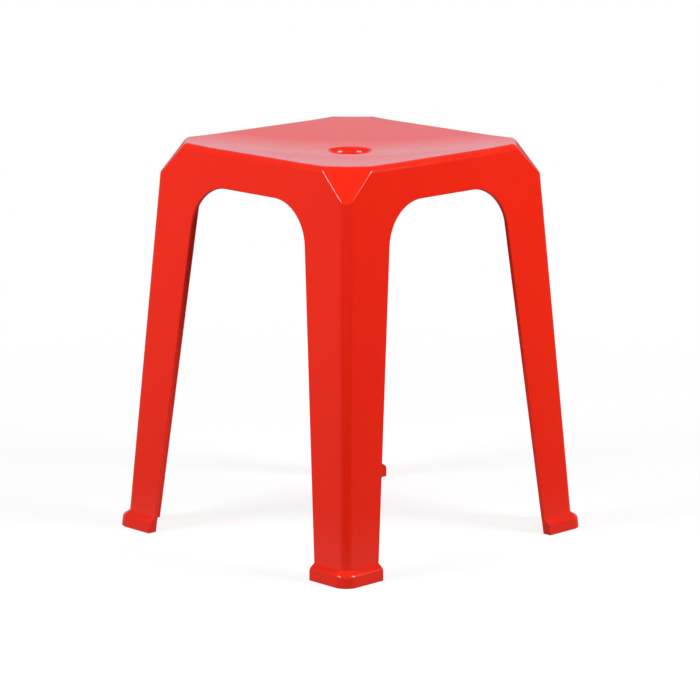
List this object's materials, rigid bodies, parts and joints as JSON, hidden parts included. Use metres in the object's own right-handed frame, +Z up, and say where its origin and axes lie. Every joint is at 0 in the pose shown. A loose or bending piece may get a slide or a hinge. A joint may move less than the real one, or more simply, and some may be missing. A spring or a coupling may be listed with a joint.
{
  "type": "stacking stool",
  "caption": "Square one-piece moulded plastic stool with a dished seat, finger hole, corner facets, drafted angle legs, round-cornered arches and flared pressed-on shoes.",
  "frame": {"origin": "on the floor, under the middle of the seat", "axes": "+Z up; the four sides face along +X, -X, +Y and -Y; the picture's nearest leg is the one at +X -Y"},
  "size_m": [0.3748, 0.3748, 0.4399],
  "materials": {
    "stool_plastic": "glossy red, as it leaves a polished mould",
    "shoe_plastic": "glossy red, the same plastic as the stool"
  },
  "bodies": {
    "root": {"seat_and_legs": "stool_plastic", "shoe_right": "shoe_plastic", "shoe_back": "shoe_plastic", "shoe_left": "shoe_plastic", "shoe_front": "shoe_plastic"}
  },
  "joints": []
}
